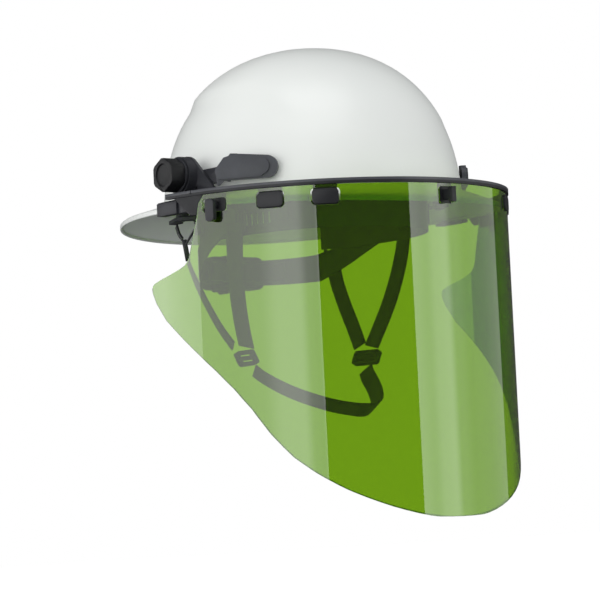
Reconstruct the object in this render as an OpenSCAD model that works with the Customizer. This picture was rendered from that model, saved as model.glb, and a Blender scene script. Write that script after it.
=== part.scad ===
// Full-brim hard hat with a tilting arc-flash visor, a ratchet suspension
// and a four-point chin strap. Millimetres, +Z up, the wearer faces -Y.
// The origin is the middle of the headband's lower edge.

/* [Shell] */
// Half width of the dome at its foot
dome_half_w = 112.5; // [104:0.5:136]
// Half length of the dome at its foot
dome_half_l = 123.7; // [112:0.5:148]
// Height of the dome above its foot
dome_rise = 129; // [106:1:156]
// Wall of the shell
wall = 2.4; // [1.8:0.1:3.2]
// Width of the brim, from the foot of the dome to the rim
brim_w = 31.5; // [24:0.5:38]
// Height of the turned-down lip at the rim
lip_h = 4; // [3:0.5:6]
// Height of the raised crown above the dome
crown_h = 3.5; // [2:0.5:5]

/* [Suspension] */
// Half width of the headband, outside
band_half_w = 80; // [72:1:86]
// Half length of the headband, outside
band_half_l = 100; // [92:1:104]
// Height of the headband
band_h = 28; // [22:1:34]
// Thickness of the headband and of the nape strap
band_t = 1.6; // [1.2:0.1:2.2]
// Thickness of the brow pad and the nape pad
pad_t = 5; // [3:0.5:7]
// Width of a crown strap
crown_strap_w = 20; // [14:1:24]
// Diameter of the ratchet knob
ratchet_d = 32; // [26:1:38]

/* [Visor] */
// Height of the window at its front
window_h = 251; // [200:1:300]
// Thickness of the window
window_t = 1.6; // [1:0.1:2.2]
// Space between the rim of the brim and the window, at the side
visor_gap = 5; // [5:0.1:8]
// Height of the carrier's rail
rail_h = 4; // [3:0.5:5]
// Thickness of the carrier's hanging tabs and skirts
tab_t = 2.2; // [1.6:0.1:2.4]
// Diameter of the pivot bolt
bolt_d = 8; // [6:0.5:9]
// Width of the knob across its flats
knob_af = 24; // [21:0.5:26]
// Length of the knob
knob_l = 12.4; // [10:0.2:16]

/* [Clamp arm] */
// Height of the arm's plate
arm_h = 17.4; // [15:0.2:20]
// Thickness of the arm's plate
arm_t = 5.4; // [4:0.2:6]
// Diameter of the arm's pin
pin_d = 4; // [3:0.5:5]

/* [Straps] */
// Width of the chin webbing
web_w = 15; // [12:1:20]
// Thickness of the chin webbing
web_t = 1.6; // [1:0.1:2.4]

/* [Hidden] */
eps = 0.01;
run = 0.05;          // radial running clearance of a pin or shaft
gap = 0.3;           // air between pieces on different bodies
arc_n = 48;          // steps along a curved outline

// the dome and the brim
dome_y = -1;
foot_z = 19;
dome_curve = 2.29;   // exponent of the dome's profile
dome_plan = 2.09;    // exponent of the dome's plan
rim_half_w = dome_half_w + brim_w;
rim_half_l = dome_half_l + brim_w + 3.5;
rim_y = 3.4;
rim_low = 12.4;      // lower edge of the rim, at front and rear
rim_lift = 5;        // how much higher the rim is at the sides
root_z = 28.6;       // top of the brim where it leaves the dome
root_out = 4;        // width of the fillet at the dome's foot
shell_n = 56;        // points round each ring
crown_edge_z = foot_z + 0.667 * dome_rise;
crown_step = 11;

// the visor
rail_top = 30;
visor_half_w = rim_half_w + visor_gap;
visor_front = rim_half_l - rim_y + visor_gap + 0.3;
visor_y = -1.4;      // where the curved front meets the straight sides
rail_end = -9;
rail_in = 2.4;
rail_out = 1.5;
tab_in = window_t + gap;
rail_bottom = rail_top - rail_h;
slot_z = 17;

// the pivot and the clamp on the brim
pivot_y = -3;
pivot_z = 46;
clip_y0 = -17;
clip_y1 = 8;
clip_out = rim_half_w + 2.25;
upright_r = 8.6;
upright_in = dome_half_w + 1.7;
upright_out = upright_in + 7.7;
ear_in = upright_out + gap;
ear_out = ear_in + 2.8;
boss_out = ear_out + 7.6;
washer_in = boss_out + gap;
washer_out = washer_in + 2;
knob_in = washer_out + gap;
knob_out = knob_in + knob_l;
bolt_head_t = 4.2;
bolt_head_af = 11;

// the clamp arm: its pin, and the direction of its plate
knuckle_r = 4.6;
pin_x = upright_out - knuckle_r;
pin_y = -42;
arm_len = 43;
arm_turn = -128.4;
arm_z = 37.2;
arm_face = 8.4;      // from the pin to the plate's outer face

// the suspension
key_angles = [30, 90, 150, 210, 270, 330];
key_half_w = 104.5 + dome_half_w - 112.5;
key_half_l = 115.5 + dome_half_l - 123.7;
key_shift = key_half_w - 104.5;
socket_z = 32;
socket_h = 26;
crown_z = 112;
nape_low = -28;
housing_y = band_half_l + band_t + 0.8;
housing_z = -17;
housing_w = 58;
housing_h = 27;
housing_d = 13;

// ---------- shared shapes ----------

function mix(a, b, t) = a + (b - a) * t;
function step01(v) = let (c = max(0, min(1, v))) c * c * (3 - 2 * c);
function spow(v, e) = sign(v) * pow(abs(v), e);
function unit(v) = v / norm(v);

// a point of a superellipse in plan
function plan_pt(a, b, cy, k, t) = [a * spow(cos(t), 2 / k), cy + b * spow(sin(t), 2 / k)];

// the points of an arc
function arc_pts(c, r, a0, a1, n) = [for (i = [0:n]) let (a = mix(a0, a1, i / n)) [c[0] + r * cos(a),
    c[1] + r * sin(a)]];

// a rectangle with round corners
function round_rect(w, h, r) = concat(
    arc_pts([w / 2 - r, h / 2 - r], r, 0, 90, 6), arc_pts([-w / 2 + r, h / 2 - r], r, 90, 180, 6),
    arc_pts([-w / 2 + r, -h / 2 + r], r, 180, 270, 6), arc_pts([w / 2 - r, -h / 2 + r], r, 270, 360, 6));

// a band that follows a superellipse, from angle t0 to t1
function band_pts(a, b, t, t0, t1, k) = concat(
    [for (i = [0:arc_n]) plan_pt(a, b, 0, k, mix(t0, t1, i / arc_n))],
    [for (i = [arc_n:-1:0]) plan_pt(a - t, b - t, 0, k, mix(t0, t1, i / arc_n))]);

// the visor's plan: straight sides and an elliptical front
function visor_arc(off, skip) = [for (i = [0:arc_n])
    let (a = -skip - (180 - 2 * skip) * i / arc_n)
        [(visor_half_w + off) * cos(a), visor_y + (visor_front + off) * sin(a)]];

function visor_line(off, y_end) = y_end > visor_y
    ? concat([[visor_half_w + off, y_end]], visor_arc(off, 0), [[-visor_half_w - off, y_end]])
    : visor_arc(off, asin((visor_y - y_end) / (visor_front + off)));

function reversed(list) = [for (i = [len(list) - 1:-1:0]) list[i]];

module visor_band(off_in, off_out, y_end, z0, z1) {
    translate([0, 0, z0])
        linear_extrude(z1 - z0)
            polygon(concat(visor_line(off_out, y_end), reversed(visor_line(off_in, y_end))));
}

// children moved to the visor's surface, with +X outward and +Y along it
module on_visor(side, a, z) {
    x = visor_half_w * cos(a);
    y = visor_y - visor_front * sin(a);
    n = unit([cos(a) / visor_half_w, -sin(a) / visor_front]);
    mirror([side < 0 ? 1 : 0, 0, 0])
        translate([x, y, z])
            rotate([0, 0, atan2(n[1], n[0])])
                children();
}

// a YZ outline given thickness from x0 to x1
module side_plate(x0, x1, points) {
    translate([x0, 0, 0])
        rotate([90, 0, 90])
            linear_extrude(x1 - x0)
                polygon(points);
}

module x_cylinder(x0, x1, r, y, z) {
    translate([x0, y, z])
        rotate([0, 90, 0])
            cylinder(h = x1 - x0, r = r, $fn = 64);
}

module left_and(side) {
    mirror([side < 0 ? 1 : 0, 0, 0])
        children();
}

// ---------- flat webbing ----------

// a smooth curve through chosen points
function curve_pt(p, i, t) =
    let (n = len(p) - 1, a = p[max(i - 1, 0)], b = p[i], c = p[min(i + 1, n)], d = p[min(i + 2, n)])
    0.5 * (2 * b + (c - a) * t + (2 * a - 5 * b + 4 * c - d) * t * t + (3 * b - a - 3 * c + d) * t * t * t);
function curve(p, n) = concat(
    [for (i = [0:len(p) - 2]) for (j = [0:n - 1]) curve_pt(p, i, j / n)], [p[len(p) - 1]]);

function run_dir(p, i) = unit(p[min(i + 1, len(p) - 1)] - p[max(i - 1, 0)]);

// flat webbing along a route, its broad face turned away from a centre
module webbing(route, width, thick, centre) {
    p = curve(route, 3);
    n = len(p);
    rings = [for (i = [0:n - 1])
        let (d = run_dir(p, i), out = unit(p[i] - centre),
             side = unit(cross(d, out)), up = cross(side, d))
        each [p[i] + side * width / 2 + up * thick / 2, p[i] - side * width / 2 + up * thick / 2,
              p[i] - side * width / 2 - up * thick / 2, p[i] + side * width / 2 - up * thick / 2]];
    faces = concat([[3, 2, 1], [3, 1, 0]],
        [for (i = [0:n - 2]) for (j = [0:3])
            each [[i * 4 + j, i * 4 + (j + 1) % 4, i * 4 + 4 + (j + 1) % 4],
                [i * 4 + j, i * 4 + 4 + (j + 1) % 4, i * 4 + 4 + j]]],
        [[n * 4 - 4, n * 4 - 3, n * 4 - 2], [n * 4 - 4, n * 4 - 2, n * 4 - 1]]);
    polyhedron(points = rings, faces = faces);
}

// ---------- shell ----------

// how far the raised crown stands off the dome
function crown(p) =
    let (edge = crown_edge_z - 25 * step01((-p[1] - 30) / 55),
         fade = 1 - 0.85 * step01((-p[1] - 10) / 90))
    crown_h * fade * step01((p[2] - edge) / crown_step);

function dome_ring(u, inset) = [for (i = [0:shell_n - 1])
    let (t = 360 * i / shell_n, r = pow(cos(u), 2 / dome_curve), h = pow(sin(u), 2 / dome_curve),
         q = plan_pt((dome_half_w - inset) * r, (dome_half_l - inset) * r, dome_y, dome_plan, t),
         p = [q[0], q[1], foot_z + (dome_rise - inset) * h])
    inset > 0 ? p : p + crown(p) * unit(p - [0, dome_y, foot_z])];

function foot_ring(out, z) = [for (i = [0:shell_n - 1])
    let (t = 360 * i / shell_n, q = plan_pt(dome_half_w + out, dome_half_l + out, dome_y, dome_plan,
        t)) [q[0], q[1], z]];

// s runs from the foot of the dome to the rim, drop is measured down from the brim's top
function brim_ring(s, inset, drop) = [for (i = [0:shell_n - 1])
    let (t = 360 * i / shell_n,
         q = plan_pt(mix(dome_half_w + root_out, rim_half_w, s) - inset, mix(dome_half_l + root_out,
             rim_half_l, s) - inset,
                     mix(dome_y, rim_y, s), dome_plan, t),
         top = rim_low + rim_lift * cos(t) * cos(t) + lip_h)
    [q[0], q[1], mix(root_z, top, pow(s, 1.1)) - drop]];

module shell() {
    rings = concat(
        [for (u = [84, 76, 68, 60, 54, 48, 43, 38, 33, 28, 23, 18, 13, 8.5]) dome_ring(u, 0)],
        [foot_ring(0.2, root_z + 3.6), foot_ring(1.4, root_z + 1.2), brim_ring(0, 0, 0)],
        [for (s = [0.35, 0.7, 0.97]) brim_ring(s, 0, 0)],
        [brim_ring(1, 0, 0.8), brim_ring(1, 0, lip_h - 0.6), brim_ring(1, 0.6, lip_h)],
        [brim_ring(1, wall - 0.5, lip_h)],
        [brim_ring(1, wall, lip_h - 0.6), brim_ring(1, wall, wall + 0.4)],
        [for (s = [0.9, 0.5, 0.12]) brim_ring(s, 0, wall)],
        [foot_ring(-0.6, root_z - 1.2)],
        [for (u = [8.5, 15, 23, 32, 41, 50, 60, 72, 84]) dome_ring(u, wall)]);
    n = len(rings);
    m = shell_n;
    points = concat([for (r = rings) each r],
        [[0, dome_y, foot_z + dome_rise + crown_h], [0, dome_y, foot_z + dome_rise - wall]]);
    faces = concat(
        [for (i = [0:m - 1]) [m * n, (i + 1) % m, i]],
        [for (k = [0:n - 2]) for (i = [0:m - 1])
            [k * m + i, k * m + (i + 1) % m, (k + 1) * m + (i + 1) % m, (k + 1) * m + i]],
        [for (i = [0:m - 1]) [m * n + 1, (n - 1) * m + i, (n - 1) * m + (i + 1) % m]]);
    color("ghostwhite")
        polyhedron(points = points, faces = faces, convexity = 6);
}

// ---------- suspension ----------

// children at a key's place, with +X outward
module at_key(a) {
    x = key_half_w * cos(a);
    y = dome_y + key_half_l * sin(a);
    translate([x, y, 0])
        rotate([0, 0, atan2(sin(a) / key_half_l, cos(a) / key_half_w)])
            children();
}

tongue_w = 15;
tongue_t = 1.8;
tongue_h = 20;

module key_sockets() {
    color("whitesmoke")
        for (a = key_angles)
            at_key(a)
                difference() {
                    translate([-5, -12, socket_z])
                        cube([8.2, 24, socket_h]);
                    translate([-2.5 - tongue_t / 2 - 0.2, -tongue_w / 2 - 0.2, socket_z - eps])
                        cube([tongue_t + 0.4, tongue_w + 0.4, tongue_h + 0.6]);
                }
}

module suspension_keys() {
    color("dimgray")
        for (a = key_angles)
            at_key(a) {
                translate([-2.5 - tongue_t / 2, -tongue_w / 2, socket_z - 3])
                    cube([tongue_t, tongue_w, tongue_h + 3]);
                translate([-6.5, -12, socket_z - 11])
                    cube([6.5, 24, 10.6]);
            }
}

// a strap over the crown, between two opposite keys
strap_base = socket_z - 8;
function strap_arc(r, h, off) = [for (i = [0:30])
    let (a = 180 * i / 30) [(r + off) * spow(cos(a), 0.85), strap_base + (h + off) * spow(sin(a), 0.85)]];

module crown_strap(a, layer) {
    r = norm([key_half_w * cos(a), key_half_l * sin(a)]) - 8.1;
    h = crown_z + layer * 1.7 - strap_base;
    color("black")
        translate([0, dome_y, 0])
            rotate([90, 0, atan2(key_half_l * sin(a), key_half_w * cos(a))])
                translate([0, 0, -crown_strap_w / 2])
                    linear_extrude(crown_strap_w)
                        polygon(concat(strap_arc(r, h, 0.6), reversed(strap_arc(r, h, -0.6))));
}

module crown_strap_front() { crown_strap(30, 0); }
module crown_strap_side() { crown_strap(90, 1); }
module crown_strap_rear() { crown_strap(150, 2); }

module crown_pad() {
    color("dimgray")
        translate([0, dome_y, crown_z - 2.9 - 4.5])
            cylinder(h = 4.5, r = 28, $fn = 48);
}

module headband() {
    color("darkslategray")
        difference() {
            linear_extrude(band_h)
                polygon(band_pts(band_half_w, band_half_l, band_t, 140, 400, 2.2));
            for (a = [200, 340])
                for (i = [-2:2])
                    translate([0, 0, 7])
                        rotate([0, 0, a + i * 4])
                            translate([band_half_w - 12, -1.2, 0])
                                cube([30, 2.4, 9]);
        }
}

// strips that hang the headband from four of the keys
module band_hangers() {
    hook = 2;
    color("dimgray")
        for (a = [30, 150, 210, 330]) {
            p = plan_pt(band_half_w + 0.5, band_half_l + 0.5, 0, 2.2, a);
            q = [key_half_w * cos(a), dome_y + key_half_l * sin(a)];
            span = norm(q - p) - 9.5;
            difference() {
                translate([p[0], p[1], 0])
                    rotate([0, 0, atan2(q[1] - p[1], q[0] - p[0])])
                        translate([0, 6, 0])
                            rotate([90, 0, 0])
                                linear_extrude(12)
                                    polygon([[0.8, 8], [0.8 + hook, 8], [0.8 + hook, 19], [span, 21.3],
                                        [span, 23.5], [0.8, 22]]);
                // clear of the band and of the key, however wide the shell is
                translate([0, 0, -1])
                    linear_extrude(40)
                        polygon([for (i = [0:89])
                            plan_pt(band_half_w + 0.25, band_half_l + 0.25, 0, 2.2, 4 * i)]);
                at_key(a)
                    translate([-6.5 - gap, -12 - gap, socket_z - 11 - gap])
                        cube([7, 24 + 2 * gap, 12]);
            }
        }
}

module brow_pad() {
    color("black")
        translate([0, 0, 1])
            linear_extrude(band_h - 3)
                polygon(band_pts(band_half_w - band_t - gap, band_half_l - band_t - gap, pad_t, 212, 328,
                    2.2));
}

module nape_strap() {
    color("darkslategray")
        intersection() {
            translate([0, 0, -40])
                linear_extrude(70)
                    polygon(band_pts(band_half_w + band_t + gap, band_half_l + band_t + gap, band_t, -8,
                        188, 2.2));
            side_plate(-120, 120, [[-20, 3], [8, 3], [30, -6], [70, nape_low + 2], [110, nape_low],
                [110, -8], [72, -4], [38, 7], [20, 18], [-20, 20]]);
        }
}

module nape_pad() {
    color("black")
        translate([0, 0, nape_low + 3])
            linear_extrude(16)
                polygon(band_pts(band_half_w - 0.3, band_half_l - 0.3, pad_t, 62, 118, 2.2));
}

module housing_block(y0, y1, w, h) {
    translate([0, y1, housing_z])
        rotate([90, 0, 0])
            linear_extrude(y1 - y0)
                polygon(round_rect(w, h, 7));
}

module ratchet_housing() {
    color("black")
        difference() {
            housing_block(housing_y, housing_y + housing_d - 2.4, housing_w, housing_h);
            housing_block(housing_y + 2, housing_y + housing_d, housing_w - 5, housing_h - 8);
        }
}

module ratchet_cover() {
    color("black")
        difference() {
            housing_block(housing_y + housing_d - 2.2, housing_y + housing_d, housing_w, housing_h);
            translate([0, housing_y + housing_d + 1, housing_z])
                rotate([90, 0, 0])
                    cylinder(h = 10, r = 3 + run, $fn = 48);
        }
}

// two toothed strips, one over and one under the pinion
module rack_strips() {
    tooth = 2;
    color("dimgray")
        for (s = [-1, 1])
            translate([0, housing_y + 7.6, housing_z])
                rotate([90, 0, 0])
                    linear_extrude(2.4)
                        polygon(concat(
                            [[-19, s * 9], [19, s * 9]],
                            [for (i = [10:-1:-10]) each [[i * tooth * 0.9 + 0.6, s * 7.2],
                                [i * tooth * 0.9 - 0.4, s * 6.3]]]));
}

module ratchet_knob() {
    y0 = housing_y + housing_d + gap;
    color("black") {
        translate([0, y0 + 11, housing_z])
            rotate([90, 0, 0])
                linear_extrude(11)
                    polygon([for (i = [0:71])
                        let (r = ratchet_d / 2 - 0.9 + 0.9 * cos(i * 60)) [r * cos(i * 5), r * sin(i * 5)]]);
        translate([0, y0 + eps, housing_z])
            rotate([90, 0, 0])
                cylinder(h = housing_d - 3, r = 3, $fn = 48);
    }
}

module ratchet_pinion() {
    color("dimgray")
        translate([0, housing_y + 7.6, housing_z])
            rotate([90, 0, 0])
                linear_extrude(2.4)
                    difference() {
                        polygon([for (i = [0:47]) let (r = i % 4 < 2 ? 5.8 : 4.6)
                            [r * cos(i * 7.5), r * sin(i * 7.5)]]);
                        circle(r = 3, $fn = 48);
                    }
}

// ---------- the clamp on the brim ----------

module bracket(side) {
    rim_top = rim_low + rim_lift + lip_h;
    jaw_low = rim_low + rim_lift - 0.6;
    plate_in = root_z + 0.6;
    left_and(side)
        difference() {
            union() {
                // the jaws round the rim, and the plate over the brim
                translate([0, clip_y1, 0])
                    rotate([90, 0, 0])
                        linear_extrude(clip_y1 - clip_y0)
                            polygon([[clip_out, jaw_low - 1.8], [clip_out, rim_top + 3],
                                [clip_out - 1.8, rim_top + 4.2],
                                [upright_out, plate_in + 1.2], [upright_in, plate_in + 3.2],
                                    [upright_in, plate_in + 1.2],
                                [dome_half_w + root_out + 1, plate_in], [clip_out - 1.9, rim_top + 0.6],
                                [clip_out - 1.9, jaw_low], [rim_half_w - 5.5, jaw_low],
                                    [rim_half_w - 5.5, jaw_low - 1.8]]);
                // a thin cheek that carries the jaws forward, inside the skirt
                translate([0, clip_y0 + eps, 0])
                    rotate([90, 0, 0])
                        linear_extrude(9)
                            polygon([[clip_out - 2.05, jaw_low - 1.8], [clip_out - 2.05, rim_top + 2.2],
                                [clip_out - 3.2, rim_top + 3.2], [rim_half_w - 10, rim_top + 5],
                                [rim_half_w - 10, rim_top + 3.8], [rim_half_w - 0.6, rim_top + 0.6],
                                [rim_half_w - 0.6, jaw_low], [rim_half_w - 5.5, jaw_low],
                                [rim_half_w - 5.5, jaw_low - 1.8]]);
                // the upright that holds the bolt
                translate([upright_in, pivot_y - upright_r, plate_in + 1.5])
                    cube([upright_out - upright_in, 2 * upright_r, pivot_z - plate_in - 1.5]);
                x_cylinder(upright_in, upright_out, upright_r, pivot_y, pivot_z);
                // the neck and the knuckle of the arm
                translate([upright_in + 1.5, pin_y, arm_z + 0.2])
                    cube([upright_out - upright_in - 1.5, pivot_y - upright_r - pin_y + 1, 11.4]);
                translate([pin_x, pin_y, arm_z + 0.2])
                    cylinder(h = 11.4, r = knuckle_r, $fn = 48);
            }
            // the bolt and its hexagonal pocket
            x_cylinder(upright_in - 1, upright_out + 1, bolt_d / 2 + run, pivot_y, pivot_z);
            translate([upright_in - 1, pivot_y, pivot_z])
                rotate([0, 90, 0])
                    cylinder(h = bolt_head_t + 1.2, r = (bolt_head_af + 0.3) / sqrt(3), $fn = 6);
            // room for the arm's barrel, and the pin
            translate([pin_x, pin_y, arm_z + 1.8])
                cylinder(h = 8, r = knuckle_r + 0.4, $fn = 48);
            translate([pin_x - 12, pin_y - 12, arm_z + 1.8])
                cube([24, 12, 8]);
            translate([pin_x, pin_y, 0])
                cylinder(h = 80, r = pin_d / 2 + run, $fn = 48);
        }
}

module bracket_right() { color("dimgray") bracket(-1); }
module bracket_left() { color("dimgray") bracket(1); }

module pivot_bolt(side) {
    color("silver")
        left_and(side) {
            translate([upright_in + 0.2, pivot_y, pivot_z])
                rotate([0, 90, 0])
                    cylinder(h = bolt_head_t, r = bolt_head_af / sqrt(3), $fn = 6);
            x_cylinder(upright_in + 0.2 + bolt_head_t - eps, knob_out - 4, bolt_d / 2, pivot_y, pivot_z);
        }
}

module pivot_bolt_right() { pivot_bolt(-1); }
module pivot_bolt_left() { pivot_bolt(1); }

module washer(side) {
    color("gray")
        left_and(side)
            difference() {
                x_cylinder(washer_in, washer_out, knob_af / 2 + 1.6, pivot_y, pivot_z);
                x_cylinder(washer_in - 1, washer_out + 1, bolt_d / 2 + 0.2, pivot_y, pivot_z);
            }
}

module washer_right() { washer(-1); }
module washer_left() { washer(1); }

// a six-sided knob with round corners and a dished face
module knob(side) {
    flat_r = knob_af / 2;
    color("black")
        left_and(side)
            difference() {
                intersection() {
                    translate([knob_in, pivot_y, pivot_z])
                        rotate([0, 90, 0])
                            cylinder(h = knob_l, r = flat_r / cos(30), $fn = 6);
                    x_cylinder(knob_in, knob_out, flat_r * 1.09, pivot_y, pivot_z);
                }
                x_cylinder(knob_in - 1, knob_out - 3, bolt_d / 2 + run, pivot_y, pivot_z);
                x_cylinder(knob_out - 1.4, knob_out + 1, flat_r - 3.4, pivot_y, pivot_z);
            }
}

module knob_right() { knob(-1); }
module knob_left() { knob(1); }

module arm_pin(side) {
    color("silver")
        left_and(side)
            translate([pin_x, pin_y, arm_z])
                cylinder(h = 11.9, r = pin_d / 2, $fn = 48);
}

module arm_pin_right() { arm_pin(-1); }
module arm_pin_left() { arm_pin(1); }

// children in the arm's own frame: +X along it, +Y away from the dome
module on_arm(side) {
    left_and(side)
        translate([pin_x, pin_y, arm_z])
            rotate([0, 0, arm_turn])
                children();
}

arm_r = arm_h / 2;

module clamp_arm(side) {
    color("dimgray")
        on_arm(side)
            difference() {
                union() {
                    // the plate, with a foot below its rear end
                    translate([0, arm_face - 1.6, 0])
                        rotate([90, 0, 0])
                            linear_extrude(1)
                                polygon(concat([[-5.4, 6], [-4.8, -3.4], [-2.8, -3.4], [1, 0], [12, 0],
                                    [12, arm_h + 2.6]],
                                    [[6.5, arm_h + 3], [5, arm_h + 1.2], [1, arm_h + 0.2], [-5.4, 9]]));
                    translate([0, arm_face - 1.6, 0])
                        rotate([90, 0, 0])
                            linear_extrude(arm_t - 1.6)
                                polygon(concat([[6, 0], [arm_len - arm_r, 0]],
                                    arc_pts([arm_len - arm_r, arm_r], arm_r, -90, 90, 16),
                                    [[6.4, arm_h + 3]]));
                    // the raised face, which stops short of the tip
                    translate([0, arm_face, 0])
                        rotate([90, 0, 0])
                            linear_extrude(1.6 + eps)
                                polygon(concat([[-5.4, 6], [-4.2, 1], [1, 1], [arm_len - arm_r - 4, 1.2]],
                                    arc_pts([arm_len - arm_r - 4, arm_r + 0.4], arm_r - 2.2, -80, 80, 12),
                                    [[6.4, arm_h + 2], [5, arm_h + 0.4], [1, arm_h - 0.8], [-5.4, 9]]));
                    translate([0, 0, 2.2])
                        cylinder(h = 7.2, r = knuckle_r, $fn = 48);
                    translate([-2, 0, 2.2])
                        cube([9, arm_face - 2, 7.2]);
                }
                translate([0, 0, 2])
                    cylinder(h = 20, r = pin_d / 2 + run, center = true, $fn = 48);
            }
}

module clamp_arm_right() { clamp_arm(-1); }
module clamp_arm_left() { clamp_arm(1); }

module arm_pad(side) {
    color("black")
        on_arm(side)
            translate([arm_len - 14, arm_face - arm_t - 1.7, 3])
                cube([10, 1.7, 10]);
}

module arm_pad_right() { arm_pad(-1); }
module arm_pad_left() { arm_pad(1); }

// ---------- visor ----------

latch_a = 20;
lug_angles = [37, 52.5];
lug_w = 20;
lug_h = 11;
shaft_r = 2.75;
wing_y = 15;
wing_z = -40;

module tab_at(side, a, w, z0) {
    intersection() {
        visor_band(-tab_in - tab_t, -tab_in, rail_end, z0, rail_bottom + eps);
        on_visor(side, a, z0)
            translate([-8, -w / 2, -1])
                cube([12, w, 40]);
    }
}

module visor_carrier() {
    color("dimgray")
        difference() {
            union() {
                visor_band(-rail_in, rail_out, rail_end, rail_bottom, rail_top);
                // the webs that carry the ear plates in over the brim
                for (side = [-1, 1])
                    left_and(side)
                        translate([ear_in + eps, -37.2, rail_top - 2.2])
                            cube([visor_half_w - 1.5 - ear_in, 19.2, 2.2]);
                // the skirts behind the window
                intersection() {
                    visor_band(-tab_t, 0, rail_end, 0, rail_bottom + eps);
                    side_plate(-200, 200, [[-14.5, 28], [-15.3, 26.9], [-19.2, 24.7], [-31.5, 13.2],
                        [-34, 11.4], [-39.9, 11.4],
                        [-40.2, 13], [-41.6, 19.3], [-43.7, 22.1], [-47, 26.2], [-48, 28]]);
                }
                // tabs inside the window, with the lugs and the front hook
                for (side = [-1, 1]) {
                    tab_at(side, latch_a, 18, 8);
                    for (a = lug_angles) {
                        tab_at(side, a, lug_w - 2, 10);
                        on_visor(side, a, slot_z)
                            translate([-3.2, 0, 0])
                                rotate([90, 0, 90])
                                    linear_extrude(4.4)
                                        polygon(round_rect(lug_w, lug_h, 3));
                    }
                }
                tab_at(1, 90, 12, 10);
                on_visor(1, 90, slot_z)
                    translate([-3.2, -2, -4])
                        cube([11.5, 4, 8]);
                on_visor(1, 90, slot_z)
                    translate([4.5, -2, -6])
                        cube([4, 4, 11.6]);
            }
            for (side = [-1, 1])
                on_visor(side, latch_a, slot_z)
                    rotate([0, 90, 0])
                        cylinder(h = 40, r = shaft_r + run, center = true, $fn = 48);
            for (side = [-1, 1])
                for (y = [-33, -23])
                    left_and(side)
                        translate([ear_out + 5, y, 0])
                            cylinder(h = 60, r = 1.55, $fn = 32);
        }
}

// a round-topped plate on the pivot, screwed to the carrier by its foot
module ear_plate(side) {
    color("dimgray")
        left_and(side)
            difference() {
                union() {
                    side_plate(ear_in, ear_out, concat(
                        [[-37.2, rail_top + 0.1], [-18.5, rail_top + 0.1], [-15.5, 37]],
                        arc_pts([pivot_y, pivot_z], 15, 216, 490, 32), [[-36.8, 33]]));
                    x_cylinder(ear_out - eps, boss_out, 14.6, pivot_y, pivot_z);
                    translate([ear_in, -37.2, rail_top + 0.1])
                        cube([ear_out - ear_in + 9, 18.7, 2]);
                }
                x_cylinder(ear_in - 1, boss_out + 1, bolt_d / 2 + run, pivot_y, pivot_z);
                for (y = [-33, -23])
                    translate([ear_out + 5, y, 0])
                        cylinder(h = 60, r = 1.55, $fn = 32);
            }
}

module ear_plate_right() { ear_plate(-1); }
module ear_plate_left() { ear_plate(1); }

module ear_screws() {
    color("silver")
        for (side = [-1, 1])
            for (y = [-33, -23])
                left_and(side)
                    translate([ear_out + 5, y, 0]) {
                        translate([0, 0, rail_top - 2.6])
                            cylinder(h = 4.6, r = 1.5, $fn = 32);
                        translate([0, 0, rail_top - 3.5])
                            cylinder(h = 1.25, r = 2.8, $fn = 32);
                    }
}

// the window's outline seen from the side: wings that reach back past the pivot
module window() {
    bottom = rail_bottom - gap - window_h;
    front_y = visor_y - visor_front;
    color([0.55, 0.8, 0.1, 0.6])
        difference() {
            intersection() {
                visor_band(-window_t, 0, 20, bottom, rail_bottom - gap);
                side_plate(-200, 200, [[front_y - 5, 30], [-49.5, 30], [-47.6, 26.2], [-44.3, 22.1],
                    [-42.2, 19.3], [-40.8, 13],
                    [-40.3, 10], [-34.8, -7.2], [-32.3, -15.3], [-30.8, -20], [-29, -23], [-25.5, -26],
                        [-20, -28.2],
                    [-8.9, -31.3], [4.2, -34.3], [wing_y - 4, -36.3], [wing_y - 1.2, -38], [wing_y, wing_z],
                    [wing_y - 0.6, -43.5], [wing_y - 4.7, -51.6], [-1.5, -65.6], [-18.7, -79.6],
                        [-36, -94], [-52, -108], [-66, -122],
                    [-79, -138], [-92, -158], [-105, -175], [-118, -188], [-132, -200.5], [-145, -211],
                    [-154, -218.5], [-160, bottom + 1.5], [front_y - 5, bottom - 1]]);
            }
            for (side = [-1, 1]) {
                on_visor(side, latch_a, slot_z)
                    translate([-4, 0, 0])
                        rotate([90, 0, 90])
                            linear_extrude(8)
                                polygon(round_rect(22, 10.4, 2.5));
                for (a = lug_angles)
                    on_visor(side, a, slot_z)
                        translate([-4, 0, 0])
                            rotate([90, 0, 90])
                                linear_extrude(8)
                                    polygon(round_rect(lug_w + 2, lug_h + 2, 3.5));
            }
            on_visor(1, 90, slot_z)
                translate([-4, 0, 0])
                    rotate([90, 0, 90])
                        linear_extrude(8)
                            polygon(round_rect(14, 13, 2));
        }
}

// a latch hanging from its shaft; turned flat, it lets the window off
module latch(side) {
    color("dimgray")
        on_visor(side, latch_a, slot_z) {
            translate([2.4, 0, -4.2])
                rotate([90, 0, 90])
                    linear_extrude(4.4)
                        polygon(round_rect(7.6, 17, 3));
            translate([-tab_in - tab_t - 0.2, 0, 0])
                rotate([0, 90, 0])
                    cylinder(h = tab_in + tab_t + 2.8, r = shaft_r, $fn = 48);
            translate([-tab_in - tab_t - 0.75, 0, 0])
                rotate([0, 90, 0])
                    cylinder(h = 0.65, r = 3.6, $fn = 48);
        }
}

module latch_right() { latch(-1); }
module latch_left() { latch(1); }

// ---------- chin straps ----------

head_mid = [0, 8, -55];

// routes for the wearer's left; the right ones are mirrored
front_route = [[87, -11.5, 18], [86.5, -10.5, 4], [85, -8, -12], [82, -4, -30], [77, 1, -50],
    [70, 6.5, -70], [63.9, 10.2, -84.9]];
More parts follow.
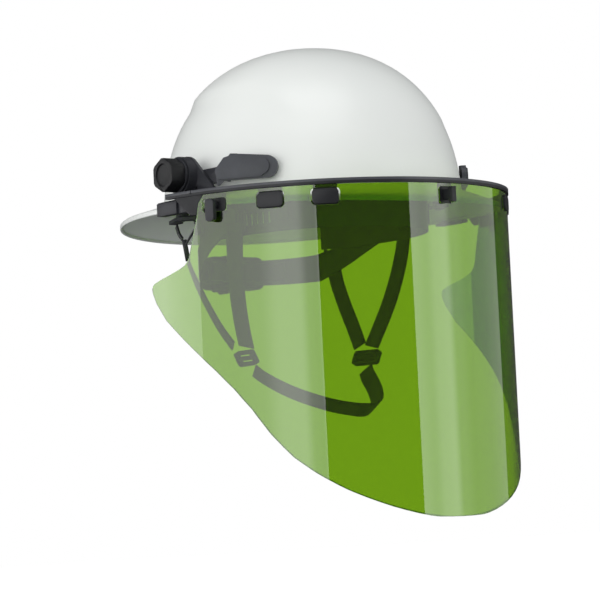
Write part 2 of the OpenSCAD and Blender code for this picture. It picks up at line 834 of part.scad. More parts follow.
// the hook, the fork and its yoke stand further out when the shell is wider
hook_shift = key_shift * cos(30);
rear_route = [[75 + hook_shift, 67, -13], [73 + hook_shift * 0.95, 61, -28],
    [71 + hook_shift / 2, 50, -48], [68.5, 37, -68], [65, 26, -83]];
fork_routes = [[[82.5 + hook_shift, 70.5, 16.2], [81.6 + hook_shift, 69, 10],
        [79.6 + hook_shift, 67.2, 5.5]],
    [[83.6 + hook_shift, 42.2, 16.4], [83.6 + hook_shift, 43.2, 13],
        [82.8 + hook_shift, 49, 8.5], [80.6 + hook_shift, 58, 4.1]]];
chin_route = [[57, 10.4, -103.4], [54, 5, -108.5], [48, -8, -117], [38, -24, -126], [21, -43, -135],
    [0, -54, -139], [-21, -43, -135], [-38, -24, -126], [-48, -8, -117], [-54, 5, -108.5],
    [-57, 10.4, -103.4]];

module front_strap(side) {
    color("black")
        left_and(side)
            webbing(front_route, web_w + 3, web_t, head_mid);
}

module front_strap_right() { front_strap(-1); }
module front_strap_left() { front_strap(1); }

module rear_strap(side) {
    color("black")
        left_and(side)
            webbing(rear_route, web_w - 3, web_t, head_mid);
}

module rear_strap_right() { rear_strap(-1); }
module rear_strap_left() { rear_strap(1); }

module strap_fork(side) {
    color("black")
        left_and(side)
            for (route = fork_routes)
                webbing(route, web_w - 3, web_t, head_mid);
}

module strap_fork_right() { strap_fork(-1); }
module strap_fork_left() { strap_fork(1); }

// the yoke that joins the two arms of the fork
module fork_yoke(side) {
    color("black")
        left_and(side)
            translate([77 + hook_shift, 66.5, -3.5])
                rotate([0, 0, atan2(58, 77)])
                    rotate([0, 8, 0])
                        difference() {
                            translate([-2, 0, 0])
                                rotate([90, 0, 90])
                                    linear_extrude(4)
                                        polygon([[-9.5, 8], [9.5, 8], [9.5, 2], [7.5, -8], [-7.5, -8],
                                            [-9.5, 2]]);
                            translate([-3, -7, 3.4])
                                cube([6, 14, 2.4]);
                            translate([-3, -6, -5.6])
                                cube([6, 12, 2.4]);
                        }
}

module fork_yoke_right() { fork_yoke(-1); }
module fork_yoke_left() { fork_yoke(1); }

// a flat slider where the front strap, the rear strap and the chin strap meet
module jaw_slider(side) {
    color("black")
        left_and(side)
            translate([61.5, 14, -93.5])
                rotate([0, 0, 8])
                    rotate([0, 26, 0])
                        difference() {
                            translate([-2.2, 0, 0])
                                rotate([90, 0, 90])
                                    linear_extrude(4.4)
                                        polygon(round_rect(27, 12, 2.5));
                            for (z = [-3.6, 1.2])
                                translate([-3, -11, z])
                                    cube([6, 22, 2.4]);
                        }
}

module jaw_slider_right() { jaw_slider(-1); }
module jaw_slider_left() { jaw_slider(1); }

module chin_strap() {
    color("black")
        webbing(chin_route, web_w - 1, web_t, [0, 12, -70]);
}

// the clips that hold the ends of the straps inside the shell
module strap_anchors() {
    color("dimgray")
        for (side = [-1, 1])
            left_and(side) {
                translate([0, -3, 0])
                    rotate([90, 0, 0])
                        linear_extrude(17)
                            polygon([[89.3, 10], [91.7, 10], [91.7, 20.5], [108.4 + key_shift, 28],
                                [108.4 + key_shift, 30.5], [89.3, 23]]);
                // a flat hook under the rear key, with a tape at each end
                translate([hook_shift, 0, socket_z - 14.2])
                    linear_extrude(3)
                        polygon([[79.6, 65], [79.6, 76], [86, 76], [98, 50], [97, 43], [88, 35], [81, 37],
                            [81, 46], [88, 50], [84, 64]]);
            }
}

shell();
key_sockets();
suspension_keys();
crown_strap_front();
crown_strap_side();
crown_strap_rear();
crown_pad();
headband();
band_hangers();
brow_pad();
nape_strap();
nape_pad();
ratchet_housing();
ratchet_cover();
rack_strips();
ratchet_knob();
ratchet_pinion();
bracket_right();
bracket_left();
pivot_bolt_right();
pivot_bolt_left();
washer_right();
washer_left();
knob_right();
knob_left();
arm_pin_right();
arm_pin_left();
clamp_arm_right();
clamp_arm_left();
arm_pad_right();
arm_pad_left();
visor_carrier();
ear_plate_right();
ear_plate_left();
ear_screws();
window();
latch_right();
latch_left();
front_strap_right();
front_strap_left();
rear_strap_right();
rear_strap_left();
strap_fork_right();
strap_fork_left();
fork_yoke_right();
fork_yoke_left();
jaw_slider_right();
jaw_slider_left();
chin_strap();
strap_anchors();
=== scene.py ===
import math

import bpy
from mathutils import Matrix, Vector


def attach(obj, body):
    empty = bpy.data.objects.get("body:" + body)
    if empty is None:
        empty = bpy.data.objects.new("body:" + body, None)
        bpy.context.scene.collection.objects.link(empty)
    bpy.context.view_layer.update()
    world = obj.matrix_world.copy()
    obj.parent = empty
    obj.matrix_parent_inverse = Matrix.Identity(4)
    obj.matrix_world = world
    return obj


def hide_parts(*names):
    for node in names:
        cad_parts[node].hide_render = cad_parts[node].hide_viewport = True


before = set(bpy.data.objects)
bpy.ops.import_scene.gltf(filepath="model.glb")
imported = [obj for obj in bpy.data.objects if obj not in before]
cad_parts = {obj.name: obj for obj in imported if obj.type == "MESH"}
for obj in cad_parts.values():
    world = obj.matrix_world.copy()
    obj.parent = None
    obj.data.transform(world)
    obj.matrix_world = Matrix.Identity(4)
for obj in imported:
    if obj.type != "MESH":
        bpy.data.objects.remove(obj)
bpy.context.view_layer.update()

# ---------- Camera ----------
# The hat is looked at from the wearer's right front, a little from below, with a long lens.
# The camera stands about 2.2 m from the middle of the headband and leans by less than 3 degrees.
turn, rise, lean = math.radians(-38.687), math.radians(-4.289), math.radians(-2.732)
back = Vector((math.sin(turn) * math.cos(rise), -math.cos(turn) * math.cos(rise), math.sin(rise)))
level = Vector((math.cos(turn), math.sin(turn), 0))
upright = back.cross(level)
right = math.cos(lean) * level + math.sin(lean) * upright
up = -math.sin(lean) * level + math.cos(lean) * upright
bpy.ops.object.camera_add()
camera = bpy.context.object
camera.name = "camera"
stand_x, stand_y, stand_z = -1.3954, -1.7221, -0.2139
camera.matrix_world = Matrix((
    (right.x, up.x, back.x, stand_x),
    (right.y, up.y, back.y, stand_y),
    (right.z, up.z, back.z, stand_z),
    (0, 0, 0, 1)))
camera.data.lens = 167.54
camera.data.sensor_width = 36
camera.data.clip_end = 60
bpy.context.scene.camera = camera


# ---------- Finishes ----------
# Plastic, webbing, foam, steel and glass are all node materials. Value holds one socket, so that sums on a
# pattern are written as sums; Finish holds one material and the Principled shader that its patterns feed.
class Value:
    def __init__(self, finish, socket):
        self.finish, self.socket = finish, socket

    def maths(self, operation, a, b):
        return self.finish.node("ShaderNodeMath", {"operation": operation}, {0: a, 1: b})

    def __add__(self, other): return self.maths("ADD", self, other)
    def __radd__(self, other): return self.maths("ADD", other, self)
    def __sub__(self, other): return self.maths("SUBTRACT", self, other)
    def __rsub__(self, other): return self.maths("SUBTRACT", other, self)
    def __mul__(self, other): return self.maths("MULTIPLY", self, other)
    def __rmul__(self, other): return self.maths("MULTIPLY", other, self)
    def __mod__(self, other): return self.maths("FLOORED_MODULO", self, other)
    def __gt__(self, other): return self.maths("GREATER_THAN", self, other)
    def __abs__(self): return self.maths("ABSOLUTE", self, 0.0)


class Finish:
    def __init__(self, name, slot, colour, roughness, **fixed):
        self.material = bpy.data.materials.new(name)
        self.material.use_nodes = True
        self.slot = slot
        self.tree = self.material.node_tree
        self.surface = self.tree.nodes["Principled BSDF"]
        self.surface.inputs["Base Color"].default_value = (*colour, 1)
        self.surface.inputs["Roughness"].default_value = roughness
        for socket, value in fixed.items():
            self.surface.inputs[socket.replace("_", " ")].default_value = value

    def node(self, kind, settings, inputs, out=0):
        made = self.tree.nodes.new(kind)
        for key, value in settings.items():
            if key == "stops":
                ramp = made.color_ramp
                while len(ramp.elements) < len(value):
                    ramp.elements.new(0.5)
                for element, (place, colour) in zip(ramp.elements, value):
                    element.position, element.color = place, (*colour, 1)
            else:
                setattr(made, key, value)
        for key, value in inputs.items():
            if isinstance(value, Value):
                self.tree.links.new(value.socket, made.inputs[key])
            else:
                made.inputs[key].default_value = value
        return Value(self, made.outputs[out])

    def place(self):
        return self.node("ShaderNodeTexCoord", {}, {}, "Object")

    def along(self):
        return self.node("ShaderNodeTexCoord", {}, {}, "UV")

    def noise(self, size, detail=2.0, at=None):
        return self.node("ShaderNodeTexNoise", {}, {
            "Vector": at or self.place(), "Scale": 1 / size, "Detail": detail, "Roughness": 0.55})

    def feed(self, socket, value):
        self.tree.links.new(value.socket, self.surface.inputs[socket])

    def colours(self, factor, *stops):
        self.feed("Base Color", self.node("ShaderNodeValToRGB", {"stops": stops}, {"Fac": factor}))

    def bump(self, height, depth, strength=1.0):
        self.feed("Normal", self.node("ShaderNodeBump", {}, {
            "Height": height, "Distance": depth, "Strength": strength}))


# ---------- Floor and light ----------
# A white floor far under the hat and a white backdrop. The room itself is dim, so that the window mirrors
# only the soft boxes: two on the wearer's right, one in front on the wearer's left, and one overhead.
bpy.context.scene.view_settings.view_transform = "Standard"
world = bpy.data.worlds.new("white_studio")
bpy.context.scene.world = world
world.use_nodes = True
studio = world.node_tree
backdrop = studio.nodes["Background"]
backdrop.inputs["Color"].default_value = (1, 1, 1, 1)
backdrop.inputs["Strength"].default_value = 1.0
dim_room = studio.nodes.new("ShaderNodeBackground")
dim_room.inputs["Color"].default_value = (1, 1, 1, 1)
dim_room.inputs["Strength"].default_value = 0.05
fill_room = studio.nodes.new("ShaderNodeBackground")
fill_room.inputs["Color"].default_value = (0.93, 0.96, 1, 1)
heading = studio.nodes.new("ShaderNodeTexCoord")
parts = studio.nodes.new("ShaderNodeSeparateXYZ")
upward = studio.nodes.new("ShaderNodeMapRange")
for end, value in (("From Min", -0.5), ("From Max", 0.5), ("To Min", 0.36), ("To Max", 0.58)):
    upward.inputs[end].default_value = value
studio.links.new(heading.outputs["Generated"], parts.inputs[0])
studio.links.new(parts.outputs["Z"], upward.inputs["Value"])
studio.links.new(upward.outputs[0], fill_room.inputs["Strength"])
ray = studio.nodes.new("ShaderNodeLightPath")
seen = studio.nodes.new("ShaderNodeMath")
seen.operation = "MAXIMUM"
studio.links.new(ray.outputs["Is Camera Ray"], seen.inputs[0])
studio.links.new(ray.outputs["Is Transmission Ray"], seen.inputs[1])
soft_fill = studio.nodes.new("ShaderNodeMixShader")
studio.links.new(ray.outputs["Is Diffuse Ray"], soft_fill.inputs[0])
studio.links.new(dim_room.outputs[0], soft_fill.inputs[1])
studio.links.new(fill_room.outputs[0], soft_fill.inputs[2])
whole = studio.nodes.new("ShaderNodeMixShader")
studio.links.new(seen.outputs[0], whole.inputs[0])
studio.links.new(soft_fill.outputs[0], whole.inputs[1])
studio.links.new(backdrop.outputs[0], whole.inputs[2])
studio.links.new(whole.outputs[0], studio.nodes["World Output"].inputs["Surface"])

bpy.ops.mesh.primitive_plane_add(size=40, location=(0, 0, -0.62))
floor = bpy.context.object
floor.name = "floor"
floor_paint = Finish("floor_paint", None, (0.93, 0.93, 0.93), 0.6,
                     Emission_Color=(1, 1, 1, 1), Emission_Strength=0.95)
floor.data.materials.append(floor_paint.material)
floor.visible_diffuse = False
floor.visible_glossy = False


def soft_box(name, place, facing, width, height, power, *stops):
    bpy.ops.object.light_add(type="AREA", location=place)
    lamp = bpy.context.object
    lamp.name = name
    lamp.data.shape = "RECTANGLE"
    lamp.data.size, lamp.data.size_y = width, height
    lamp.data.energy = power
    lamp.rotation_euler = (-Vector(facing)).to_track_quat("Z", "Y").to_euler()
    lamp.visible_camera = False
    lamp.visible_transmission = False
    if stops:
        # the cloth glows unevenly from one end of the box to the other
        lamp.data.use_nodes = True
        tree = lamp.data.node_tree
        spot = tree.nodes.new("ShaderNodeNewGeometry")
        split = tree.nodes.new("ShaderNodeSeparateXYZ")
        cloth = tree.nodes.new("ShaderNodeValToRGB")
        cloth.color_ramp.interpolation = "EASE"
        while len(cloth.color_ramp.elements) < len(stops):
            cloth.color_ramp.elements.new(0.5)
        for element, (at, glow) in zip(cloth.color_ramp.elements, stops):
            element.position, element.color = at, (glow, glow, glow, 1)
        tree.links.new(spot.outputs["Parametric"], split.inputs[0])
        tree.links.new(split.outputs["X"], cloth.inputs["Fac"])
        tree.links.new(cloth.outputs["Color"], tree.nodes["Emission"].inputs["Color"])


soft_box("right_side_box", (-1.487, -0.281, 0.08), (0.985, 0.174, 0), 2.085, 1.1, 11,
         (0.0, 0.85), (0.3, 0.85), (0.5, 0.95), (0.66, 1.35),
         (0.80, 1.35), (0.90, 0.8), (0.97, 0.72), (1.0, 0.95))
soft_box("right_rear_box", (-1.38, 1.494, 0.1), (0.86, -0.50, -0.03), 1.6, 0.6, 6.5)
soft_box("front_box", (1.301, -0.927, 0.08), (-0.669, 0.743, 0), 2.6, 1.1, 7,
         (0.0, 2.2), (0.12, 1.8), (0.20, 2.3), (0.28, 2.4),
         (0.35, 1.2), (0.48, 0.8), (0.7, 0.7), (1.0, 0.65))
soft_box("overhead_box", (-0.55, -0.7, 1.7), (0.30, 0.38, -0.88), 1.4, 1.4, 11)


# ---------- Shell ----------
# One injection-moulded white shell: the dome, the raised crown, the full brim and its turned-down lip.
# Its outside is drawn ring by ring from the crown to the rim, then given its wall.
shell_plastic = Finish("shell_plastic", "shell_white", (0.83, 0.84, 0.80), 0.34,
                       Coat_Weight=0.12, Coat_Roughness=0.2)
orange_peel = shell_plastic.noise(0.0035, 3.0)
cloud = shell_plastic.noise(0.09, 3.0)
shell_plastic.bump(orange_peel, 0.00008, 0.35)
shell_plastic.feed("Roughness", 0.30 + cloud * 0.10)
shell_plastic.colours(cloud, (0.3, (0.81, 0.825, 0.79)), (0.7, (0.83, 0.842, 0.805)))

half_width, half_length, foot, height = 0.1125, 0.1237, 0.019, 0.129
dome_middle, dome_curve, plan_curve = -0.001, 2.29, 2.09
crown_edge, crown_step = 0.667, 0.0035
rim_width, rim_length, rim_middle, rim_low, rim_lift = 0.144, 0.1587, 0.0034, 0.0124, 0.005
root_width, root_length, root_top = 0.1165, 0.1277, 0.0286
shell_wall, lip = 0.0024, 0.004


def signed_power(value, power):
    return math.copysign(abs(value) ** power, value)


def eased(value):
    value = min(max(value, 0), 1)
    return value * value * (3 - 2 * value)


def oval(a, b, middle, curve, angle):
    x = a * signed_power(math.cos(angle), 2 / curve)
    return x, middle + b * signed_power(math.sin(angle), 2 / curve)


def dome_point(angle, climb):
    reach, lift = math.cos(climb) ** (2 / dome_curve), math.sin(climb) ** (2 / dome_curve)
    x, y = oval(half_width * reach, half_length * reach, dome_middle, plan_curve, angle)
    z = foot + height * lift
    # the raised crown's edge dips towards the front, and its step fades out there
    edge = foot + crown_edge * height - 0.025 * eased((-y - 0.03) / 0.055)
    stand = crown_step * (1 - 0.85 * eased((-y - 0.01) / 0.09)) * eased((z - edge) / 0.010)
    return Vector((x, y, z)) + stand * Vector((x, y - dome_middle, z - foot)).normalized()


def brim_point(angle, spread, inset, drop):
    a = root_width + (rim_width - root_width) * spread - inset
    b = root_length + (rim_length - root_length) * spread - inset
    x, y = oval(a, b, dome_middle + (rim_middle - dome_middle) * spread, plan_curve, angle)
    edge = rim_low + rim_lift * math.cos(angle) ** 2 + lip
    return Vector((x, y, root_top + (edge - root_top) * spread ** 1.1 - drop))


def foot_point(angle, out, z):
    x, y = oval(half_width + out, half_length + out, dome_middle, plan_curve, angle)
    return Vector((x, y, z))


climbs = [90, 88.5, 86, 82, 78, 74, 70, 66, 62, 58, 55, 52, 49.5, 47, 44.5, 42, 39.5, 37, 34.5, 32,
          29.5, 27, 24.5, 22, 19.5, 17, 14.5, 12, 10, 8.5]
rings = [lambda t, c=math.radians(c): dome_point(t, c) for c in climbs]
rings += [lambda t, o=o, z=z: foot_point(t, o, z) for o, z in
          [(0.0002, 0.0322), (0.0009, 0.0306), (0.0022, 0.0293)]]
rings += [lambda t, s=s: brim_point(t, s, 0, 0) for s in [0.0, 0.12, 0.25, 0.4, 0.55, 0.7, 0.85, 0.95]]
rings += [lambda t, i=i, d=d: brim_point(t, 1, i, d) for i, d in
          [(0.0009, 0), (0.0003, 0.0003), (0, 0.0009), (0, 0.0024), (0, 0.0034), (0.0003, 0.004)]]

around = 160
bpy.ops.object.select_all(action="DESELECT")
bpy.ops.mesh.primitive_grid_add(x_subdivisions=around, y_subdivisions=len(rings) - 1, size=2)
shell = bpy.context.object
shell.name = "shell_moulding"
for vertex in shell.data.vertices:
    ring = round((1 - vertex.co.y) / 2 * (len(rings) - 1))
    vertex.co = rings[ring]((vertex.co.x + 1) * math.pi)
bpy.ops.object.mode_set(mode="EDIT")
bpy.ops.mesh.select_all(action="SELECT")
bpy.ops.mesh.remove_doubles(threshold=0.00002)
bpy.ops.mesh.normals_make_consistent(inside=False)
bpy.ops.object.mode_set(mode="OBJECT")
wall = shell.modifiers.new("wall", "SOLIDIFY")
wall.thickness, wall.offset, wall.use_even_offset = shell_wall, -1, False
bpy.ops.object.modifier_apply(modifier="wall")
bpy.ops.object.mode_set(mode="EDIT")
bpy.ops.mesh.select_all(action="SELECT")
bpy.ops.mesh.normals_make_consistent(inside=False)
bpy.ops.object.mode_set(mode="OBJECT")
bpy.ops.object.shade_smooth()
shell.data.materials.append(shell_plastic.material)
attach(shell, "hat")
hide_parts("shell")


# ---------- Moulded nylon ----------
# The brackets, knobs, arms and ear plates are glass-filled nylon with a fine spark-eroded grain and
# slightly rounded edges; each is taken from the frame, welded, and has its edges broken.
def nylon(name, slot, dark, light, smooth):
    finish = Finish(name, slot, dark, smooth)
    smear = finish.noise(0.02, 3.0)
    finish.bump(finish.noise(0.0006, 2.0), 0.00006, 0.5)
    finish.feed("Roughness", smooth + smear * 0.2)
    finish.colours(smear, (0.3, dark), (0.75, light))
    return finish


black_nylon = nylon("black_nylon", "black_nylon", (0.021, 0.022, 0.027), (0.034, 0.035, 0.042), 0.34)
# the knobs' copy of the black nylon is painted darker, as painted shade on the knobs
shaded_knob_nylon = nylon("shaded_knob_nylon", "black_nylon", (0.006, 0.0065, 0.0075), (0.012, 0.0125, 0.0145), 0.42)
# the arms' copy of the black nylon is painted lighter, as painted light on the arms
lit_arm_nylon = nylon("lit_arm_nylon", "black_nylon", (0.044, 0.047, 0.056), (0.066, 0.070, 0.081), 0.38)
grey_nylon = nylon("grey_nylon", "grey_nylon", (0.05, 0.052, 0.06), (0.066, 0.068, 0.076), 0.42)


sharp = math.radians(32)


def from_frame(node, finish, body, edge=0.0004, steps=2):
    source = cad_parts[node]
    piece = bpy.data.objects.new(node + "_part", source.data.copy())
    bpy.context.scene.collection.objects.link(piece)
    bpy.ops.object.select_all(action="DESELECT")
    bpy.context.view_layer.objects.active = piece
    piece.select_set(True)
    piece.data.materials.clear()
    piece.data.materials.append(finish.material)
    for polygon in piece.data.polygons:
        polygon.material_index = 0
    bpy.ops.object.mode_set(mode="EDIT")
    bpy.ops.mesh.select_all(action="SELECT")
    bpy.ops.mesh.remove_doubles(threshold=0.000005)
    bpy.ops.mesh.dissolve_limited(angle_limit=math.radians(0.6))
    bpy.ops.object.mode_set(mode="OBJECT")
    if edge:
        broken = piece.modifiers.new("broken_edge", "BEVEL")
        broken.width, broken.segments = edge, steps
        broken.limit_method, broken.angle_limit = "ANGLE", sharp
        bpy.ops.object.modifier_apply(modifier="broken_edge")
    bpy.ops.object.shade_smooth_by_angle(angle=sharp)
    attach(piece, body)
    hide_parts(node)
    return piece


# ---------- Key sockets and keys ----------
# Six sockets are moulded in one with the shell; a flat tongue of each grey key is pushed up into them.
from_frame("key_sockets", shell_plastic, "hat", 0.0005)
from_frame("suspension_keys", grey_nylon, "hat", 0.0008)


# ---------- Webbing ----------
# Crown straps and chin straps are woven polyester tape with a herringbone weave. The tape lies along a
# smooth route with its broad face turned away from the head, and its edges are rounded.
webbing = Finish("black_webbing", "black_webbing", (0.014, 0.014, 0.016), 0.78,
                 Sheen_Weight=0.25, Sheen_Roughness=0.5)
lengthwise = webbing.node("ShaderNodeSeparateXYZ", {}, {"Vector": webbing.along()}, "X")
crosswise = Value(webbing, lengthwise.socket.node.outputs["Y"])
rib_count, picks_per_metre = 9.0, 520.0
ribs = abs((crosswise * rib_count) % 1.0 - 0.5) * 2.0
slant = abs(((lengthwise * picks_per_metre + ribs * 1.2) % 1.0) - 0.5) * 2.0
fuzz = webbing.noise(0.0008, 3.0)
webbing.bump(slant * 0.6 + ribs * 0.35 + fuzz * 0.3, 0.00022, 0.9)
webbing.colours(slant * 0.6 + fuzz * 0.4, (0.2, (0.006, 0.006, 0.007)), (0.9, (0.030, 0.030, 0.034)))


def smooth_route(points, steps=8):
    smooth = []
    for i in range(len(points) - 1):
        a, b, c, d = points[max(i - 1, 0)], points[i], points[i + 1], points[min(i + 2, len(points) - 1)]
        for j in range(steps):
            t = j / steps
            smooth.append(0.5 * (2 * b + (c - a) * t + (2 * a - 5 * b + 4 * c - d) * t * t
                                 + (3 * b - a - 3 * c + d) * t ** 3))
    return smooth + [points[-1]]


def tape(name, route, width, thick, centre, nodes, side=1):
    # a cut through the tape: two broad faces and two rounded edges
    cut = [(0.5, -0.25), (0.5, 0.25), (0.47, 0.5), (0.25, 0.5), (0, 0.5), (-0.25, 0.5), (-0.47, 0.5),
           (-0.5, 0.25), (-0.5, -0.25), (-0.47, -0.5), (-0.25, -0.5), (0, -0.5), (0.25, -0.5), (0.47, -0.5)]
    bpy.ops.object.select_all(action="DESELECT")
    bpy.ops.mesh.primitive_grid_add(x_subdivisions=len(cut), y_subdivisions=len(route) - 1, size=2)
    piece = bpy.context.object
    piece.name = name
    run = [0.0]
    for i in range(1, len(route)):
        run.append(run[-1] + (route[i] - route[i - 1]).length)
    uv = piece.data.uv_layers.active or piece.data.uv_layers.new(name="along")
    where = [(round((v.co.x + 1) / 2 * len(cut)), round((v.co.y + 1) / 2 * (len(route) - 1)))
             for v in piece.data.vertices]
    for loop in piece.data.loops:
        c, r = where[loop.vertex_index]
        uv.data[loop.index].uv = (run[r], cut[c % len(cut)][0] + 0.5)
    for vertex, (c, r) in zip(piece.data.vertices, where):
        ahead = (route[min(r + 1, len(route) - 1)] - route[max(r - 1, 0)]).normalized()
        out = (route[r] - Vector(centre)).normalized()
        across = ahead.cross(out).normalized()
        face = across.cross(ahead)
        u, v = cut[c % len(cut)]
        vertex.co = route[r] + across * u * width + face * v * thick
    if side < 0:
        for vertex in piece.data.vertices:
            vertex.co.x = -vertex.co.x
    bpy.ops.object.mode_set(mode="EDIT")
    bpy.ops.mesh.select_all(action="SELECT")
    bpy.ops.mesh.remove_doubles(threshold=0.000002)
    bpy.ops.mesh.select_all(action="DESELECT")
    bpy.ops.mesh.select_non_manifold()
    bpy.ops.mesh.edge_face_add()
    bpy.ops.mesh.select_all(action="DESELECT")
    bpy.ops.mesh.select_non_manifold()
    bpy.ops.mesh.fill_holes(sides=0)
    bpy.ops.mesh.select_all(action="SELECT")
    bpy.ops.mesh.normals_make_consistent(inside=False)
    bpy.ops.object.mode_set(mode="OBJECT")
    bpy.ops.object.shade_smooth_by_angle(angle=math.radians(50))
    piece.data.materials.append(webbing.material)
    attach(piece, "hat")
    if nodes:
        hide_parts(*nodes)
    return piece


# ---------- Crown straps and crown pad ----------
# Three straps cross under the crown, each from one key to the key opposite; a round pad hangs where they
# cross.
key_half_width, key_half_length, key_inset = 0.1045, 0.1155, 0.0081
strap_foot, crown_low, layer_step, arch, arch_steps = 0.024, 0.112, 0.0017, 0.85, 72
for layer, (degrees, name) in enumerate([(30, "front"), (90, "side"), (150, "rear")]):
    angle = math.radians(degrees)
    key = Vector((key_half_width * math.cos(angle), key_half_length * math.sin(angle), 0))
    reach = key.length - key_inset
    top = crown_low + layer * layer_step - strap_foot
    route = [Vector((0, dome_middle, strap_foot))
             + key.normalized() * reach * signed_power(math.cos(a), arch)
             + Vector((0, 0, top * abs(math.sin(a)) ** arch))
             for a in [math.pi * i / arch_steps for i in range(arch_steps + 1)]]
    tape("crown_tape_" + name, route, 0.020, 0.0012, (0, dome_middle, -0.03), ["crown_strap_" + name])
from_frame("crown_pad", grey_nylon, "hat", 0.0012, 3)


# ---------- Headband ----------
# A flexible grey nylon band with slots, its hangers and its nape strap, and the clips inside the shell that
# hold the ends of the chin straps.
from_frame("headband", grey_nylon, "hat", 0.0003)
from_frame("band_hangers", grey_nylon, "hat", 0.0004)
from_frame("nape_strap", grey_nylon, "hat", 0.0003)
from_frame("strap_anchors", grey_nylon, "hat", 0.0005)


# ---------- Brow pad and nape pad ----------
# Knitted cloth over soft foam, pressed on to the band. A short cloth simulation swells each pad, and no
# point moves further than a set distance.
foam_cloth = Finish("pad_cloth", "pad_foam", (0.02, 0.02, 0.023), 0.9,
                    Sheen_Weight=0.4, Sheen_Roughness=0.6)
knit = foam_cloth.node("ShaderNodeTexVoronoi", {}, {"Vector": foam_cloth.place(), "Scale": 900.0})
soft = foam_cloth.noise(0.004, 3.0)
foam_cloth.bump(knit * 0.7 + soft * 0.5, 0.0003, 0.8)
foam_cloth.colours(knit, (0.1, (0.032, 0.032, 0.036)), (0.7, (0.013, 0.013, 0.015)))


def swollen(node, name, most=0.0012, last=12):
    piece = from_frame(node, foam_cloth, "hat", 0)
    piece.name = name
    shaped = piece.modifiers.new("even", "REMESH")
    shaped.mode, shaped.voxel_size = "VOXEL", 0.0016
    bpy.ops.object.modifier_apply(modifier="even")
    rest = [v.co.copy() for v in piece.data.vertices]
    cloth = piece.modifiers.new("cloth", "CLOTH")
    cloth.settings.use_pressure = True
    cloth.settings.uniform_pressure_force = 4
    cloth.settings.effector_weights.gravity = 0
    cloth.settings.quality = 4
    cloth.point_cache.frame_start, cloth.point_cache.frame_end = 1, last
    for number in range(1, last + 1):
        bpy.context.scene.frame_set(number)
    bpy.ops.object.modifier_apply(modifier="cloth")
    bpy.context.scene.frame_set(1)
    for vertex, start in zip(piece.data.vertices, rest):
        move = vertex.co - start
        if move.length > most:
            vertex.co = start + move.normalized() * most
    smooth = piece.modifiers.new("smooth", "SMOOTH")
    smooth.factor, smooth.iterations = 0.5, 3
    bpy.ops.object.modifier_apply(modifier="smooth")
    bpy.ops.object.shade_smooth()


swollen("brow_pad", "brow_cushion")
swollen("nape_pad", "nape_cushion")


# ---------- Ratchet ----------
# A two-part nylon housing at the nape with a scalloped hand knob, a pinion and two racks. The knob and
# pinion turn together, and the racks stay where they are.
from_frame("ratchet_housing", black_nylon, "hat", 0.0006)
from_frame("ratchet_cover", black_nylon, "hat", 0.0005)
from_frame("rack_strips", grey_nylon, "hat", 0)
from_frame("ratchet_pinion", grey_nylon, "ratchet", 0)
from_frame("ratchet_knob", black_nylon, "ratchet", 0.0007, 3)


# ---------- Brim clamps ----------
# A nylon clamp grips the rim on each side and stands up beside the dome; a zinc-plated bolt passes out
# through it, through the visor's ear and a washer, to a six-sided hand knob.
steel = Finish("zinc_plate", "steel", (0.62, 0.62, 0.64), 0.32, Metallic=1.0)
streak = steel.noise(0.0015, 4.0)
steel.feed("Roughness", 0.25 + streak * 0.2)
steel.bump(streak, 0.00003, 0.4)
for side in ("right", "left"):
    from_frame("bracket_" + side, black_nylon, "hat", 0.0005)
    from_frame("pivot_bolt_" + side, steel, "hat", 0.0003)
    from_frame("washer_" + side, black_nylon, "hat", 0.0004)
    from_frame("knob_" + side, shaded_knob_nylon, "knob_" + side, 0.0014, 4)


# ---------- Clamp arms ----------
# A flat nylon arm swings on a steel pin in each bracket and lies against the dome; a rubber pad saves the
# paint.
rubber = Finish("arm_rubber", "pad_rubber", (0.02, 0.02, 0.02), 0.75)
speckle = rubber.noise(0.0009, 3.0)
rubber.bump(speckle, 0.0001, 0.6)
rubber.feed("Roughness", 0.65 + speckle * 0.2)
for side in ("right", "left"):
    from_frame("arm_pin_" + side, steel, "hat", 0.0003)
    from_frame("clamp_arm_" + side, lit_arm_nylon, "arm_" + side, 0.0006, 3)
    from_frame("arm_pad_" + side, rubber, "arm_" + side, 0.0006)


# ---------- Visor carrier ----------
# The rail that the window hangs from, with skirts at its ends, tabs, lugs and the front hook; two ear
# plates are screwed to its webs and turn on the bolts.
rail_nylon = Finish("rail_nylon", "black_nylon", (0.02, 0.021, 0.026), 0.45)
grain = rail_nylon.noise(0.0006, 2.0)
smear = rail_nylon.noise(0.02, 3.0)
# the rail's upper strip, above lit_edge, is painted lighter as a painted highlight and its lower strip
# darker as painted shade; the smear noise adds random tone
raised = rail_nylon.node("ShaderNodeSeparateXYZ", {}, {"Vector": rail_nylon.place()}, "Z")
lit_edge = 0.0281
lit_top_and_smear = (raised > lit_edge) * 0.55 + smear * 0.35
rail_nylon.bump(grain, 0.00006, 0.5)
rail_nylon.feed("Roughness", 0.52 - lit_top_and_smear * 0.25)
rail_nylon.colours(lit_top_and_smear, (0.1, (0.012, 0.0125, 0.015)), (0.4, (0.026, 0.027, 0.033)),
                   (0.8, (0.075, 0.078, 0.088)))
from_frame("visor_carrier", rail_nylon, "visor", 0.0004)
for side in ("right", "left"):
    from_frame("ear_plate_" + side, black_nylon, "visor", 0.0006)
from_frame("ear_screws", steel, "visor", 0.0002)


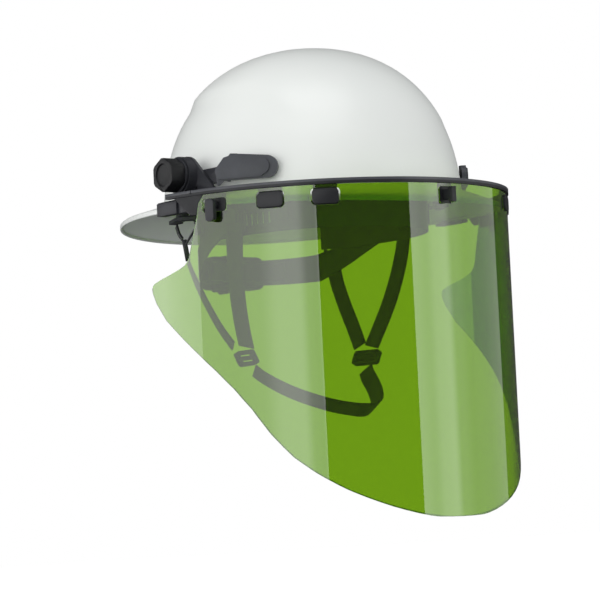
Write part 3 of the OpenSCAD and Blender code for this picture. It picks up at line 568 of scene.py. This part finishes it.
# ---------- Window ----------
# A sheet of clear green polycarbonate, 1.6 mm, bent to the carrier; its front hangs far below the chin
# and its sides sweep back in two wings. Slots along its top take the latches, the lugs and the hook.
window_glass = Finish("green_polycarbonate", "green_window", (0.16, 0.34, 0.004), 0.02,
                      Transmission_Weight=1.0, IOR=1.585, Coat_Weight=1.0, Coat_Roughness=0.01, Coat_IOR=1.6)
ray = window_glass.node("ShaderNodeLightPath", {}, {}, "Is Shadow Ray")
let_light_by = window_glass.tree.nodes.new("ShaderNodeBsdfTransparent")
let_light_by.inputs["Color"].default_value = (0.4, 0.58, 0.063, 1)
sheet = window_glass.tree.nodes.new("ShaderNodeMixShader")
window_glass.tree.links.new(ray.socket, sheet.inputs[0])
window_glass.tree.links.new(window_glass.surface.outputs[0], sheet.inputs[1])
window_glass.tree.links.new(let_light_by.outputs[0], sheet.inputs[2])
window_glass.tree.links.new(sheet.outputs[0], window_glass.tree.nodes["Material Output"].inputs["Surface"])
window = from_frame("window", window_glass, "visor", 0)
# the bend is drawn as one smooth curve: each corner of a broad face turns exactly as the bend does there
half, front, middle = 0.149, 0.1606, -0.0014


def bend_at(point):
    return Vector((point.x / half ** 2, min(point.y - middle, 0) / front ** 2, 0)).normalized()


turned = []
for polygon in window.data.polygons:
    for index in polygon.loop_indices:
        bend = bend_at(window.data.vertices[window.data.loops[index].vertex_index].co)
        facing = bend.dot(polygon.normal)
        turned.append(bend * math.copysign(1, facing) if abs(facing) > 0.97 else polygon.normal.copy())
window.data.normals_split_custom_set(turned)
cut_edge = Finish("cut_edge", "green_window", (0.50, 0.66, 0.42), 0.3, Transmission_Weight=0.35)
milled = cut_edge.noise(0.0012, 2.0)
cut_edge.feed("Roughness", 0.25 + milled * 0.2)
window.data.materials.append(cut_edge.material)
for polygon in window.data.polygons:
    polygon.material_index = 1 if abs(bend_at(polygon.center).dot(polygon.normal)) < 0.9 else 0


# ---------- Turn latches ----------
# A short bar on a round shaft at each side of the window; turned flat it passes through the slot.
for side in ("right", "left"):
    from_frame("latch_" + side, black_nylon, "latch_" + side, 0.0012, 3)


# ---------- Chin straps ----------
# Woven tape from clips inside the shell: one strap in front of each ear, a fork of two behind it that
# meets at a yoke, and a strap under the chin; the tapes meet at a flat slider on each jaw.
def millimetres(*points):
    return [Vector(p) / 1000 for p in points]


front_route = millimetres((87, -11.5, 18), (86.5, -10.5, 4), (85, -8, -12), (82, -4, -30), (77, 1, -50),
                          (70, 6.5, -70), (63.9, 10.2, -84.9))
rear_route = millimetres((75, 67, -13), (73, 61, -28), (71, 50, -48), (68.5, 37, -68), (65, 26, -83))
fork_routes = [millimetres((82.5, 70.5, 16.2), (81.6, 69, 10), (79.6, 67.2, 5.5)),
               millimetres((83.6, 42.2, 16.4), (83.6, 43.2, 13), (82.8, 49, 8.5), (80.6, 58, 4.1))]
head_middle, jaw_middle = (0, 0.008, -0.055), (0, 0.012, -0.070)
front_width, rear_width, chin_width, tape_thick = 0.018, 0.012, 0.014, 0.0016
for side, sign in (("right", -1), ("left", 1)):
    tape("front_tape_" + side, smooth_route(front_route), front_width, tape_thick, head_middle,
         ["front_strap_" + side], sign)
    tape("rear_tape_" + side, smooth_route(rear_route), rear_width, tape_thick, head_middle,
         ["rear_strap_" + side], sign)
    fork = [tape(f"fork_tape_{side}_{n}", smooth_route(route), rear_width, tape_thick, head_middle,
                 [], sign) for n, route in enumerate(fork_routes)]
    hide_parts("strap_fork_" + side)
    from_frame("fork_yoke_" + side, black_nylon, "hat", 0.0006)
    from_frame("jaw_slider_" + side, black_nylon, "hat", 0.0006)
chin_route = millimetres((57, 10.4, -103.4), (54, 5, -108.5), (48, -8, -117), (38, -24, -126),
                         (21, -43, -135), (0, -54, -139), (-21, -43, -135), (-38, -24, -126),
                         (-48, -8, -117), (-54, 5, -108.5), (-57, 10.4, -103.4))
tape("chin_tape", smooth_route(chin_route), chin_width, tape_thick, jaw_middle, ["chin_strap"])
